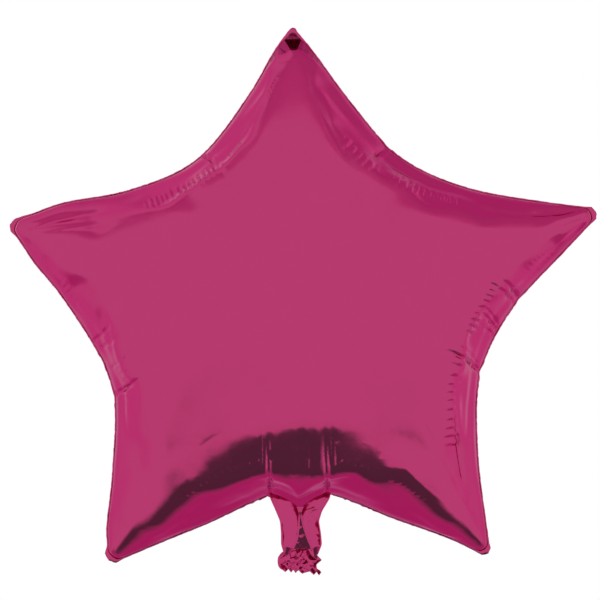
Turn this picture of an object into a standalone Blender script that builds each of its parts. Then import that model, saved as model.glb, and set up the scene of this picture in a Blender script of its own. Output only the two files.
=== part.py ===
"""Star-shaped foil balloon, blown up, with its filling neck hanging below.

Two flat films cut to a star are welded along their edge and filled with gas.
The finished thing is one piece, so it is one closed solid, foil_star.
Units are metres, +Z is up, the front looks along -Y and the origin is the
middle of the neck, where a ribbon or a stick's cup would hold it.
"""

import math

import bmesh
import bpy
import numpy as np

# Overall sizes of the blown-up star. The half width runs from the star's
# centre to its side tips.
STAR_HALF_WIDTH = 0.225
STAR_DEPTH = 0.150
SEAM_WIDTH = 0.0025
SEAM_THICKNESS = 0.0012

# Each tip ends in a small round tab of weld: the tab's centre (x, z) from the
# star's centre in half widths, and its radius. Anticlockwise from the top.
TIP_TABS = (
    ((-0.024, 0.968), 0.0030),
    ((-0.957, 0.300), 0.0075),
    ((-0.630, -0.808), 0.0080),
    ((0.624, -0.791), 0.0060),
    ((0.981, 0.341), 0.0070),
)

# The seam between one tip and the next passes a shoulder, a waist, the notch,
# a waist and a shoulder, each (x, z) from the star's centre in half widths.
SEAM_RUNS = (
    ((-0.082, 0.913), (-0.170, 0.760), (-0.358, 0.528), (-0.589, 0.426), (-0.818, 0.382)),
    ((-0.920, 0.194), (-0.804, 0.051), (-0.644, -0.239), (-0.640, -0.528), (-0.661, -0.732)),
    ((-0.511, -0.791), (-0.341, -0.722), (0.000, -0.596), (0.341, -0.702), (0.528, -0.770)),
    ((0.637, -0.716), (0.607, -0.460), (0.617, -0.198), (0.716, 0.010), (0.903, 0.218)),
    ((0.852, 0.385), (0.556, 0.440), (0.341, 0.542), (0.170, 0.732), (0.044, 0.903)),
)
NOTCH_INDEX = 2
BOTTOM_RUN = 2

# The film gathers into short folds across the seam around every notch.
GATHER_PITCH = 0.0062
GATHER_SPREAD = 0.047
GATHER_LENGTH = 0.020
GATHER_HEIGHT = 0.0011
SEAM_WAVE = 0.0005

# The gathers let the film slope gently away from the weld before it turns up
# steeply: how far in that slope reaches.
RIM_WIDTH = 0.0110

# Longer creases run inwards from the seam: start and end (x, z) from the
# star's centre in half widths, and how strong each one is.
CREASE_WIDTH = 0.0050
CREASE_DEPTH = 0.0040
CREASE_START = 0.0100
CREASES = (
    ((-0.307, 0.533), (-0.240, 0.444), 0.75),
    ((-0.622, 0.378), (-0.889, 0.311), 0.75),
    ((0.311, 0.573), (0.213, 0.467), 0.88),
    ((0.151, 0.578), (0.053, 0.756), 0.75),
    ((0.600, 0.382), (0.867, 0.338), 0.75),
    ((0.729, 0.058), (0.622, 0.133), 1.00),
    ((0.680, -0.080), (0.578, 0.000), 1.00),
    ((0.613, -0.196), (0.502, -0.111), 1.12),
    ((0.533, -0.511), (0.378, -0.267), 0.62),
    ((-0.676, -0.093), (-0.591, 0.022), 0.62),
    ((-0.618, -0.249), (-0.511, -0.191), 0.75),
)

# The neck is the filling tube. Its sides fold forwards into two lobes with a
# wedge between them, and its cut end is crumpled into a band of pleats.
NECK_HALF_WIDTH = 0.0157
NECK_HALF_DEPTH = 0.0065
NECK_ROOT_HALF_WIDTH = 0.0210
NECK_ROOT_HALF_DEPTH = 0.0100
NECK_RISE = 0.0228
NECK_BURIED = 0.0132
NECK_ROOT_DROP = 0.0052
NECK_DIP = 0.0110
WEDGE_DROP = 0.0068
WEDGE_DEPTH = 0.0075
WEDGE_HALF_WIDTH = 0.0050
NECK_CREASE_LENGTH = 0.0550
TAIL_BAND_TOP = -0.0235
TAIL_BAND_HALF_WIDTH = 0.0146
TAIL_BAND_HALF_DEPTH = 0.0048
TAIL_BULGE_HEIGHT = -0.0305
TAIL_END = -0.0420
TAIL_HALF_WIDTH = 0.0160
TAIL_HALF_DEPTH = 0.0052
TAIL_PLEATS = 5
TAIL_PLEAT_HEIGHT = 0.0014
TAIL_RAG = 0.0015

# The origin is NECK_RISE below the bottom notch, and what joins the neck to the
# star is placed from that notch.
STAR_CENTRE_HEIGHT = NECK_RISE - STAR_HALF_WIDTH * SEAM_RUNS[BOTTOM_RUN][NOTCH_INDEX][1]
NECK_BURIED_HEIGHT = NECK_RISE + NECK_BURIED
NECK_ROOT_HEIGHT = NECK_RISE - NECK_ROOT_DROP
WEDGE_TOP = NECK_RISE - WEDGE_DROP

# Proportions that hold at any size.
TAB_WELD_SHARE = 0.6
GATHER_REACH_SHARE = 0.9
CREASE_FADE = 0.8
FULLNESS = 1.5
RIM_SLACK = 0.55
SECTION_ROUNDNESS = 0.8

# How finely the shapes are divided.
PLAIN_STEP = 0.0125
TAB_STEPS = 4
CURVE_STEPS = 24
PANEL_RINGS = 11
RING_CROWDING = 1.8
NECK_SEGMENTS = 28
NECK_RINGS = 18

FOIL_COLOUR = (0.485, 0.044, 0.159, 1.0)
FOIL_ROUGHNESS = 0.14


def clear_scene():
    """Remove whatever objects the open file holds."""
    for thing in list(bpy.data.objects):
        bpy.data.objects.remove(thing, do_unlink=True)


def new_collection(name):
    """Link an empty collection to the scene."""
    collection = bpy.data.collections.new(name)
    bpy.context.scene.collection.children.link(collection)
    return collection


def foil_material():
    """Metallised magenta film."""
    material = bpy.data.materials.new("magenta_foil")
    material.use_nodes = True
    shader = material.node_tree.nodes["Principled BSDF"]
    shader.inputs["Base Color"].default_value = FOIL_COLOUR
    shader.inputs["Metallic"].default_value = 1.0
    shader.inputs["Roughness"].default_value = FOIL_ROUGHNESS
    return material


def smooth_run(points, steps):
    """Centripetal Catmull-Rom curve through the points, without its last one."""
    points = [np.array(point) for point in points]
    before = 2 * points[0] - points[1]
    after = 2 * points[-1] - points[-2]
    points = [before] + points + [after]
    curve = []
    for p0, p1, p2, p3 in zip(points, points[1:], points[2:], points[3:]):
        t1 = math.sqrt(np.linalg.norm(p1 - p0))
        t2 = t1 + math.sqrt(np.linalg.norm(p2 - p1))
        t3 = t2 + math.sqrt(np.linalg.norm(p3 - p2))
        for t in np.linspace(t1, t2, steps, endpoint=False):
            a1 = p0 + (p1 - p0) * t / t1
            a2 = p1 + (p2 - p1) * (t - t1) / (t2 - t1)
            a3 = p2 + (p3 - p2) * (t - t2) / (t3 - t2)
            b1 = a1 + (a2 - a1) * t / t2
            b2 = a2 + (a3 - a2) * (t - t1) / (t3 - t1)
            curve.append(b1 + (b2 - b1) * (t - t1) / (t2 - t1))
    return curve


def tab_frame(index):
    """Centre, radius, outward and sideways directions of a tip's tab."""
    centre, radius = TIP_TABS[index % len(TIP_TABS)]
    centre = STAR_HALF_WIDTH * np.array(centre)
    outward = centre / np.linalg.norm(centre)
    sideways = np.array((-outward[1], outward[0]))
    return centre, radius, outward, sideways


def neck_dip(x):
    """How far the seam dips between the neck's two sides."""
    if abs(x) >= NECK_ROOT_HALF_WIDTH:
        return 0.0
    return NECK_DIP * math.cos(0.5 * math.pi * x / NECK_ROOT_HALF_WIDTH) ** 2


def seam_outline():
    """Seam points spaced for the mesh, with how strongly each one gathers.

    The points run anticlockwise around the star's centre. Around a notch they
    lie half a gather apart, so every second one is the crest of a fold.
    """
    points = []
    gathers = []
    for index, run in enumerate(SEAM_RUNS):
        centre, radius, outward, sideways = tab_frame(index)
        for step in range(TAB_STEPS):
            angle = math.pi * (step / TAB_STEPS - 0.5)
            points.append(centre + radius * (math.cos(angle) * outward + math.sin(angle) * sideways))
            gathers.append(0.0)
        next_centre, next_radius, _, next_sideways = tab_frame(index + 1)
        start = centre + radius * sideways
        end = next_centre - next_radius * next_sideways
        between = STAR_HALF_WIDTH * np.array(run)
        curve = np.array(smooth_run([start, *between, end], CURVE_STEPS) + [end])
        lengths = np.concatenate([[0.0], np.cumsum(np.linalg.norm(np.diff(curve, axis=0), axis=1))])
        notch = lengths[(NOTCH_INDEX + 1) * CURVE_STEPS]
        reach = min(GATHER_SPREAD, GATHER_REACH_SHARE * min(notch, lengths[-1] - notch))
        folds = max(2, round(2 * reach / GATHER_PITCH))
        before = max(2, round((notch - reach) / PLAIN_STEP))
        after = max(2, round((lengths[-1] - notch - reach) / PLAIN_STEP))
        places = np.concatenate([
            np.linspace(0.0, notch - reach, before, endpoint=False),
            np.linspace(notch - reach, notch + reach, 2 * folds, endpoint=False),
            np.linspace(notch + reach, lengths[-1], after, endpoint=False),
        ])
        for count, place in enumerate(places):
            x, z = (np.interp(place, lengths, curve[:, axis]) for axis in (0, 1))
            if index == BOTTOM_RUN:
                z -= neck_dip(x)
            points.append((x, z))
            fade = max(0.0, 1.0 - ((place - notch) / reach) ** 2)
            crest = 1.0 if (count - before) % 2 == 0 else -1.0
            gathers.append(crest * math.sqrt(fade))
    return np.array(points), np.array(gathers)


def weld_outline(seam):
    """The inner edge of the weld, SEAM_WIDTH inside the seam's outer edge.

    A tip's tab may be narrower than two welds, so the inset there stays
    within the tab.
    """
    along = np.roll(seam, -1, axis=0) - np.roll(seam, 1, axis=0)
    along /= np.linalg.norm(along, axis=1)[:, None]
    inward = np.stack([-along[:, 1], along[:, 0]], axis=1)
    inset = np.full(len(seam), SEAM_WIDTH)
    for index in range(len(TIP_TABS)):
        centre, radius, _, _ = tab_frame(index)
        on_tab = np.linalg.norm(seam - centre, axis=1) < 1.01 * radius
        inset[on_tab] = min(SEAM_WIDTH, TAB_WELD_SHARE * radius)
    return seam + inset[:, None] * inward


def panel_points(weld):
    """Flat points of one film, ring by ring from the middle to the weld."""
    shares = 1.0 - (1.0 - np.arange(PANEL_RINGS + 1) / PANEL_RINGS) ** RING_CROWDING
    return shares[:, None, None] * weld[None, :, :]


def film_lift(panel):
    """How far the gas lifts each panel point, as a share of the greatest lift.

    The film is treated as a membrane held at the weld and pushed evenly from
    one side. The square root of the membrane's sag gives round sections, as
    an inflated flat bag has, and FULLNESS flattens the middle and steepens the
    rim, as film that can't stretch does. RIM_SLACK is the share of the lift
    that the gathered film loses right beside the weld.
    """
    rings, columns = panel.shape[:2]
    number = np.zeros((rings, columns), int)
    number[1:] = 1 + np.arange((rings - 1) * columns).reshape(rings - 1, columns)
    flat = np.vstack([panel[0, :1], panel[1:].reshape(-1, 2)])
    inner, outer = number[:-1], number[1:]
    inner_next, outer_next = np.roll(inner, -1, axis=1), np.roll(outer, -1, axis=1)
    triangles = np.vstack([
        np.stack([inner, outer, outer_next], axis=-1).reshape(-1, 3),
        np.stack([inner, outer_next, inner_next], axis=-1)[1:].reshape(-1, 3),
    ])
    count = len(flat)
    stiffness = np.zeros((count, count))
    load = np.zeros(count)
    for corner in range(3):
        a, b, c = (triangles[:, (corner + turn) % 3] for turn in range(3))
        to_b, to_c = flat[b] - flat[a], flat[c] - flat[a]
        doubled_area = np.abs(to_b[:, 0] * to_c[:, 1] - to_b[:, 1] * to_c[:, 0])
        weight = 0.5 * (to_b * to_c).sum(axis=1) / doubled_area
        np.add.at(stiffness, (b, b), weight)
        np.add.at(stiffness, (c, c), weight)
        np.add.at(stiffness, (b, c), -weight)
        np.add.at(stiffness, (c, b), -weight)
        np.add.at(load, a, doubled_area / 6.0)
    free = count - columns
    sag = np.zeros(count)
    sag[:free] = np.linalg.solve(stiffness[:free, :free], load[:free])
    lift = np.sqrt(np.maximum(sag, 0.0) / sag.max())
    lift = 1.0 - (1.0 - lift) ** FULLNESS
    inset = np.linalg.norm(flat[:, None] - panel[-1], axis=2).min(axis=1)
    lift *= 1.0 - RIM_SLACK * np.exp(-((inset / RIM_WIDTH) ** 2))
    return lift[number]


def star_shell(mesh, seam, lift):
    """Wrap a sphere's grid onto the two films and the weld's outer edge."""
    columns = len(seam)
    rows = 2 * (PANEL_RINGS + 1)
    panel = panel_points(weld_outline(seam))
    bmesh.ops.create_uvsphere(mesh, u_segments=columns, v_segments=rows, radius=1.0)
    places = {}
    for vert in mesh.verts:
        row = round(math.acos(max(-1.0, min(1.0, vert.co.z))) / math.pi * rows)
        column = round(math.atan2(vert.co.y, vert.co.x) / (2 * math.pi) * columns) % columns
        places[vert] = (row, column)
    for vert, (row, column) in places.items():
        ring = min(row, rows - row)
        facing = -1.0 if row < rows / 2 else 1.0
        if ring > PANEL_RINGS:
            x, z = seam[column]
            y = 0.0
        else:
            x, z = panel[ring, column]
            rise = (STAR_DEPTH - SEAM_THICKNESS) / 2 * lift[ring, column]
            y = facing * (SEAM_THICKNESS / 2 + rise)
        vert.co = (x, y, z)
    return places


def crease_lines():
    """The creases as start, end and strength, from the star's centre.

    The neck's two sides run on into the star as a pair of creases.
    """
    lines = []
    for start, end, strength in CREASES:
        lines.append((STAR_HALF_WIDTH * np.array(start), STAR_HALF_WIDTH * np.array(end), strength))
    bottom = NECK_RISE + SEAM_WIDTH - STAR_CENTRE_HEIGHT
    for x in (-NECK_ROOT_HALF_WIDTH, NECK_ROOT_HALF_WIDTH):
        lines.append((np.array((x, bottom)), np.array((x, bottom + NECK_CREASE_LENGTH)), 1.0))
    return lines


def crease_cut(point, lines):
    """Depth of the creases at a point (x, z) of the film."""
    cut = 0.0
    for start, end, strength in lines:
        run = end - start
        along = max(0.0, min(1.0, (point - start).dot(run) / run.dot(run)))
        aside = np.linalg.norm(point - start - along * run)
        fade = 1.0 - CREASE_FADE * along
        cut += CREASE_DEPTH * strength * fade * math.exp(-((2.0 * aside / CREASE_WIDTH) ** 2))
    return cut


def fold_film(mesh, places, seam, gathers):
    """Press the gathers and the longer creases into both films."""
    mesh.normal_update()
    rows = 2 * (PANEL_RINGS + 1)
    lines = crease_lines()
    moves = {}
    for vert, (row, column) in places.items():
        ring = min(row, rows - row)
        wave = SEAM_WAVE * gathers[column]
        if ring > PANEL_RINGS:
            moves[vert] = (0.0, wave, 0.0)
            continue
        x, y, z = vert.co
        inset = math.hypot(seam[column][0] - x, seam[column][1] - z) - SEAM_WIDTH
        fade = max(0.0, 1.0 - inset / GATHER_LENGTH)
        rise = GATHER_HEIGHT * gathers[column] * 4.0 * fade * (1.0 - fade)
        rise -= crease_cut(np.array((x, z)), lines) * min(1.0, abs(y) / CREASE_START)
        moves[vert] = (
            rise * vert.normal.x,
            rise * vert.normal.y + wave * fade,
            rise * vert.normal.z,
        )
    for vert, (dx, dy, dz) in moves.items():
        vert.co.x += dx
        vert.co.y += dy
        vert.co.z += dz + STAR_CENTRE_HEIGHT


def add_object(name, mesh, collection, material):
    """Turn a bmesh into a smooth-shaded object in the collection."""
    data = bpy.data.meshes.new(name)
    mesh.to_mesh(data)
    mesh.free()
    data.materials.append(material)
    data.shade_smooth()
    thing = bpy.data.objects.new(name, data)
    collection.objects.link(thing)
    return thing


def build_star(collection, material):
    """The two welded films of the star."""
    seam, gathers = seam_outline()
    lift = film_lift(panel_points(weld_outline(seam)))
    mesh = bmesh.new()
    places = star_shell(mesh, seam, lift)
    fold_film(mesh, places, seam, gathers)
    return add_object("foil_star", mesh, collection, material)


# Neck stations from the top down: height, half width and half depth.
NECK_STATIONS = (
    (NECK_BURIED_HEIGHT, NECK_ROOT_HALF_WIDTH, NECK_ROOT_HALF_DEPTH),
    (NECK_ROOT_HEIGHT, NECK_ROOT_HALF_WIDTH, NECK_ROOT_HALF_DEPTH),
    (0.0, NECK_HALF_WIDTH, NECK_HALF_DEPTH),
    (0.7 * TAIL_BAND_TOP, NECK_HALF_WIDTH, NECK_HALF_DEPTH),
    (TAIL_BAND_TOP, TAIL_BAND_HALF_WIDTH, TAIL_BAND_HALF_DEPTH),
    (TAIL_BULGE_HEIGHT, TAIL_HALF_WIDTH, TAIL_HALF_DEPTH),
    (TAIL_END, TAIL_BAND_HALF_WIDTH, TAIL_HALF_DEPTH),
)


def wedge_cut(x, height):
    """How deep the front of the neck is pressed in between its two lobes."""
    opening = (WEDGE_TOP - height) / (WEDGE_TOP - TAIL_BAND_TOP)
    closing = (height - TAIL_BAND_TOP) / (WEDGE_TOP - TAIL_BAND_TOP)
    if opening <= 0.0 or closing <= 0.0:
        return 0.0
    depth = WEDGE_DEPTH * min(1.0, 4.0 * opening, 6.0 * closing)
    half_width = WEDGE_HALF_WIDTH * (0.3 + 0.7 * opening)
    return depth * math.exp(-((x / half_width) ** 2))


def neck_point(angle, height):
    """A point of the neck's skin, by its angle around the neck and its height."""
    heights, half_widths, half_depths = zip(*reversed(NECK_STATIONS))
    across = math.copysign(abs(math.cos(angle)) ** SECTION_ROUNDNESS, math.cos(angle))
    front = -math.copysign(abs(math.sin(angle)) ** SECTION_ROUNDNESS, math.sin(angle))
    x = np.interp(height, heights, half_widths) * across
    y = -np.interp(height, heights, half_depths) * front
    y += wedge_cut(x, height) * max(0.0, front)
    crumple = max(0.0, min(1.0, 2.0 * (TAIL_BAND_TOP - height) / (TAIL_BAND_TOP - TAIL_END)))
    y += TAIL_PLEAT_HEIGHT * crumple * math.sin(TAIL_PLEATS * math.pi * across)
    z = height + TAIL_RAG * crumple * math.cos(2.0 * TAIL_PLEATS * math.pi * across)
    return x, y, z


def build_neck(collection, material):
    """The folded filling neck, a closed shape that is joined to the star."""
    mesh = bmesh.new()
    bmesh.ops.create_uvsphere(mesh, u_segments=NECK_SEGMENTS, v_segments=NECK_RINGS, radius=1.0)
    heights = np.linspace(NECK_BURIED_HEIGHT, TAIL_END, NECK_RINGS - 1)
    for vert in mesh.verts:
        row = round(math.acos(max(-1.0, min(1.0, vert.co.z))) / math.pi * NECK_RINGS)
        height = float(heights[min(max(row - 1, 0), NECK_RINGS - 2)])
        if row in (0, NECK_RINGS):
            vert.co = (0.0, 0.0, height)
        else:
            vert.co = neck_point(math.atan2(vert.co.y, vert.co.x), height)
    return add_object("neck_shape", mesh, collection, material)


def join_neck(star, neck):
    """Weld the neck to the star, so that the balloon is one solid."""
    union = star.modifiers.new("neck_union", "BOOLEAN")
    union.operation = "UNION"
    union.solver = "EXACT"
    union.object = neck
    neck.hide_render = True
    neck.display_type = "WIRE"


def main():
    clear_scene()
    balloon = new_collection("star_foil_balloon")
    joined_shapes = new_collection("joined_shapes")
    material = foil_material()
    star = build_star(balloon, material)
    neck = build_neck(joined_shapes, material)
    join_neck(star, neck)


main()
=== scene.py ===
"""Looks of the star foil balloon: blown-up film, weld, gathers and folded neck."""

import math

import bpy
import numpy as np
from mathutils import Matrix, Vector, noise
from mathutils.geometry import delaunay_2d_cdt
from mathutils.kdtree import KDTree


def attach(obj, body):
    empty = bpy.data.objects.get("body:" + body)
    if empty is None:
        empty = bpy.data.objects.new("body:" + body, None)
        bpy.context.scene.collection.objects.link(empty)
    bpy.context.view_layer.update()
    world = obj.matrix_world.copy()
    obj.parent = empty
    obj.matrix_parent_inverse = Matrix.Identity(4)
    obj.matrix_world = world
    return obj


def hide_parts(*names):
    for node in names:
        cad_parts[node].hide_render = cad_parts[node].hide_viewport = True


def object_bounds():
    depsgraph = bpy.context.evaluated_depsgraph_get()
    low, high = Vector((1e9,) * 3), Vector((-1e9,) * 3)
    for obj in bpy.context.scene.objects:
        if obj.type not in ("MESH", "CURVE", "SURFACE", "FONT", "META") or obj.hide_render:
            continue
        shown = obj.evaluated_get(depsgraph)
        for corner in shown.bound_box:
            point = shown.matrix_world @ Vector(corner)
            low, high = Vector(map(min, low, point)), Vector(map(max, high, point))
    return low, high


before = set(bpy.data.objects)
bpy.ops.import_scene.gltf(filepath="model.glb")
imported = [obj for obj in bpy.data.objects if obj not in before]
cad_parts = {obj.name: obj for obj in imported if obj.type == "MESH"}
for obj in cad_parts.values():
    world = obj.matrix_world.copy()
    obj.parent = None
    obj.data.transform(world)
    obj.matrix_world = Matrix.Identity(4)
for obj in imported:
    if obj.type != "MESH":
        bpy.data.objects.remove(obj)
CAD_LOW, CAD_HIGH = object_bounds()

# The photograph's scale and framing. All lengths are metres unless a name says
# otherwise, and pixels are those of the 600 by 600 photograph.
IMAGE_SIZE = 600
METRE_PER_PIXEL = 0.450 / 587
ORIGIN_COLUMN = 300
ORIGIN_ROW = 520
CAMERA_DISTANCE = 2.6
SENSOR_WIDTH = 36.0

# The star's centre, from which the seam is measured, and the stretch of seam
# that the neck interrupts, with how far the seam dips there.
STAR_CENTRE_HEIGHT = 0.157
NECK_GAP_HALF_WIDTH = 0.0225
NECK_DIP = 0.0110

# How the seam is found on the CAD solid: how sharply the surface turns there, how
# near the middle plane it lies, and the radius from which a point that lies
# deeper than the dent given is dropped, with how often that is repeated.
SEAM_TURN = 0.5
SEAM_FLATNESS = 0.0012
TAB_START_RADIUS = 0.190
TAB_DENT = 0.0008
TAB_PASSES = 3

# The flat star that is cut from film before it is blown up. Each entry gives
# degrees from a tip and how much further out the flat film reaches there than
# the blown-up star does.
CUT_ALLOWANCES = (
    (0, 1.075),
    (4, 1.110),
    (8, 1.155),
    (12, 1.195),
    (20, 1.260),
    (28, 1.285),
    (36, 1.295),
)
TIPS = 5
TIP_PITCH = math.radians(72)
FIRST_TIP = math.radians(18)
HALF_TIP_DEGREES = 36
OUTLINE_TURN = math.radians(0.25)
SEAM_STEP = 0.0005

# How finely the film is divided: for the simulation, and for what is shown.
# Each entry is a distance from the seam and the step used up to there. What is
# shown has a finer step near the folds.
SIMULATED_STEPS = ((0.022, 0.0034), (0.050, 0.0054), (1.0, 0.0088))
SHOWN_STEPS = ((0.008, 0.0018), (0.070, 0.0032), (1.0, 0.0050))
FOLDED_STEP = 0.00125
FOLD_MARGIN = 0.0015
GUIDE_STEP = 0.004
EDGE_CLEARANCE = 0.6
GRID_MARGIN = 1.2
MESH_JITTER = 0.12
MERGE_DISTANCE = 1e-7
SEED = 3

# Film and gas for the cloth run.
BLOW_FRAMES = 60
STEPS_A_FRAME = 5
GAS_PRESSURE = 5.0
POINT_WEIGHT = 0.05
STRETCH_STIFFNESS = 80.0
SQUEEZE_SHARE = 0.1
BEND_STIFFNESS = 0.005
FILM_DAMPING = 5.0
BEND_DAMPING = 0.05
START_BULGE = 0.004

# How the blown-up film is fitted to the seam and smoothed between its points.
FITTING_NEIGHBOURS = 40
FITTING_SHARPNESS = 2.0
FITTING_POWER = 3.0
FITTING_SOFTNESS = 0.004
POINTS_AT_ONCE = 2000
TINY = 1e-9

# The wall behind the seam is averaged, along the seam and a little across it, to
# a depth that grows away from a tip and fades out over its last part.
CALM_ALONG = 0.013
CALM_ACROSS = 0.0035
CALM_DEPTH = 0.055
CALM_GROWTH = 0.50
CALM_FADE = 0.4
CALM_MARGIN = 1.1
LEAST_FADE = 1e-6
FRAME_STEP = 0.001
FRAME_SMOOTHING = 9

# How far the wall leaves the seam at least, for each metre of flat film: inwards,
# eased by the softness, and to the front or back.
WALL_SPREAD = 0.24
WALL_SOFTNESS = 0.0015
LEAST_PUFF = 0.35

# The weld: its width along the edges and at the tips, how far from a tip it is
# wider, how far its inner edge is rounded there, and its thickness.
WELD_WIDTH = 0.0012
TIP_WELD_WIDTH = 0.0050
TIP_WELD_REACH = 0.0090
TIP_ROUNDING = 0.0035
WELD_THICKNESS = 0.0005

# How the weld is ruffled to the front and back: a coarse wave and a finer one,
# which is given as shares of the coarse wave's height and pitch, and where it
# starts.
RUFFLE = 0.0005
RUFFLE_PITCH = 0.0085
FINE_RUFFLE_SHARE = 0.5
FINE_PITCH_SHARE = 0.45
FINE_RUFFLE_START = 0.7

# Rows of points across the weld, as a share of the way in to the star and how
# much of the ruffle each has.
WELD_ROWS = ((0.0, 1.0), (0.5, 0.7), (1.12, 0.0))

# How the seam wanders: everywhere, and more beside the neck, which is where it
# lies lower than the depth and nearer to the centre than the radius given.
WANDER = 0.00022
WANDER_BELOW = 0.00060
WANDER_PITCH = 0.0052
SEAM_PER_RADIAN = 0.75
NECK_SIDE_DEPTH = 0.105
NECK_SIDE_RADIUS = 0.17
NECK_SIDE_FADE = 0.02

# Kinks in the seam where a deep fold meets it: pixel, width, depth.
KINKS = (
    ((519, 298), 0.0060, 0.0013),
    ((503, 337), 0.0050, 0.0013),
    ((482, 372), 0.0060, 0.0015),
    ((386, 148), 0.0050, 0.0013),
    ((213, 158), 0.0040, 0.0009),
    ((117, 397), 0.0060, 0.0013),
    ((104, 360), 0.0050, 0.0010),
)

# Rows of short gathers where the film turns over its shoulder, near the notches.
# Each entry gives the line that the folds cross, as pixels anticlockwise round
# the star, then their pitch, their reach outwards and inwards from that line,
# their height and how far they lean.
GATHERS = (
    (((224, 163), (208, 177), (192, 187), (172, 196), (146, 208)), 0.0044, 0.0068, 0.0080, 0.00115, 0.0),
    (((281, 76), (262, 108), (243, 140), (226, 162)), 0.0032, 0.0018, 0.0032, 0.00055, 0.0),
    (((462, 206), (430, 197), (404, 185), (384, 174)), 0.0050, 0.0058, 0.0076, 0.00115, 0.0),
    (((380, 172), (366, 164), (354, 153), (342, 138)), 0.0060, 0.0048, 0.0080, 0.00115, 0.0),
    (((452, 452), (449, 420), (449, 392), (453, 366), (464, 340)), 0.0066, 0.0080, 0.0120, 0.00120, 0.0),
    (((466, 338), (474, 318), (484, 298), (496, 278)), 0.0050, 0.0060, 0.0100, 0.00110, 0.2),
    (((512, 286), (530, 266), (552, 244)), 0.0040, 0.0100, 0.0060, 0.00022, 0.3),
    (((60, 276), (70, 292), (84, 312)), 0.0050, 0.0030, 0.0060, 0.00035, 0.0),
    (((118, 352), (128, 376), (130, 404)), 0.0056, 0.0050, 0.0080, 0.00045, 0.0),
    (((172, 500), (204, 481), (236, 466), (266, 455)), 0.0048, 0.0012, 0.0046, 0.00050, 0.0),
    (((332, 457), (366, 467), (400, 480), (430, 497)), 0.0048, 0.0012, 0.0046, 0.00050, 0.0),
    (((178, 514), (208, 500), (240, 489), (264, 480)), 0.0036, 0.0080, 0.0080, 0.00010, 0.0),
    (((334, 480), (366, 489), (400, 503), (430, 519)), 0.0036, 0.0080, 0.0080, 0.00010, 0.0),
)

# How uneven the gathers are. Each pair is a share and a spacing in pitches: how
# much they wander along the row, vary in reach and vary in height. The row fades
# out over so many pitches at its ends.
GATHER_WANDER = (0.28, 2.1)
GATHER_REACH_CHANGE = (0.2, 1.3)
GATHER_HEIGHT_CHANGE = (0.25, 3.7)
GATHER_END_FADE = 1.5

# Single folds, as pixels from their deep end, then width and depth. A negative
# depth is a ridge.
FOLDS = (
    (((200, 154), (211, 160), (221, 171), (229, 184)), 0.0030, 0.0018),
    (((206, 152), (217, 159), (227, 170), (234, 181)), 0.0030, -0.0006),
    (((387, 147), (378, 153), (368, 164)), 0.0030, 0.0018),
    (((391, 150), (382, 157), (373, 167)), 0.0026, -0.0006),
    (((226, 163), (243, 140), (262, 108), (281, 74), (288, 52)), 0.0040, 0.0007),
    (((346, 160), (334, 138), (318, 106), (302, 76)), 0.0050, 0.0010),
    (((519, 299), (508, 287), (496, 279), (484, 274)), 0.0030, 0.0018),
    (((514, 303), (502, 293), (488, 286), (474, 283)), 0.0028, 0.0012),
    (((504, 338), (490, 322), (477, 311), (460, 305)), 0.0030, 0.0018),
    (((503, 332), (491, 316), (480, 306), (468, 301)), 0.0024, 0.0011),
    (((500, 341), (484, 328), (470, 320), (456, 318)), 0.0024, 0.0011),
    (((482, 373), (466, 359), (448, 351), (428, 348)), 0.0034, 0.0022),
    (((478, 364), (464, 349), (449, 341), (434, 336)), 0.0024, 0.0010),
    (((92, 342), (106, 333), (119, 317)), 0.0030, 0.0012),
    (((101, 348), (115, 341), (129, 328)), 0.0030, 0.0012),
    (((113, 366), (124, 361), (136, 352)), 0.0026, 0.0008),
    (((114, 395), (132, 385), (151, 371)), 0.0032, 0.0018),
    (((590, 214), (560, 224), (535, 242), (512, 259), (498, 275)), 0.0052, 0.0013),
    (((586, 222), (558, 246), (540, 262), (524, 282)), 0.0044, 0.0009),
    (((586, 206), (556, 213), (510, 215), (470, 210), (440, 201)), 0.0050, 0.0018),
    (((24, 229), (60, 219), (104, 212), (150, 207)), 0.0060, 0.0018),
    (((30, 233), (70, 228), (112, 225), (152, 219)), 0.0050, 0.0009),
    (((456, 482), (430, 436), (408, 400)), 0.0034, 0.0006),
    (((470, 510), (452, 480), (436, 452)), 0.0030, 0.0004),
    (((462, 478), (456, 440), (453, 400), (452, 360)), 0.0032, 0.0018),
    (((200, 446), (212, 436), (229, 427), (256, 424)), 0.0034, 0.00016),
    (((440, 497), (415, 477), (395, 457), (370, 441), (345, 433)), 0.0026, -0.00022),
    (((270, 497), (270, 480), (269, 450), (268, 410)), 0.0036, 0.0020),
    (((327, 496), (327, 480), (325, 450), (325, 412)), 0.0036, 0.0020),
    (((262, 462), (262, 440), (262, 408)), 0.0032, 0.0009),
    (((333, 462), (332, 440), (332, 410)), 0.0032, 0.0009),
    (((307, 474), (307, 446), (307, 412)), 0.0030, -0.0008),
    (((294, 474), (295, 446), (295, 412)), 0.0056, -0.0009),
    (((318, 474), (318, 446), (318, 412)), 0.0040, -0.0008),
)

# Broad swells of the film, as pixels along their crest, then width and height.
SWELLS = (
    (((140, 538), (159, 516), (181, 485), (199, 474), (216, 467)), 0.0230, 0.0036),
    (((464, 540), (446, 518), (431, 500), (410, 473), (393, 457), (378, 447)), 0.0230, 0.0036),
    (((150, 484), (164, 472), (178, 463), (196, 454), (212, 450)), 0.0180, 0.0013),
    (((456, 496), (440, 482), (427, 468), (411, 456), (394, 450)), 0.0180, 0.0013),
    (((226, 440), (252, 428), (286, 420), (318, 416), (350, 416), (384, 430)), 0.0300, 0.0022),
)

# How a fold's depth changes along it: what it has at the start, how soon it has
# all of it, how long it takes to run out, and how it fades towards the seam.
FOLD_START_DEPTH = 0.4
FOLD_START_SHARE = 0.12
FOLD_END_SHARE = 0.75
FOLD_SEAM_FADE = 0.006

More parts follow.
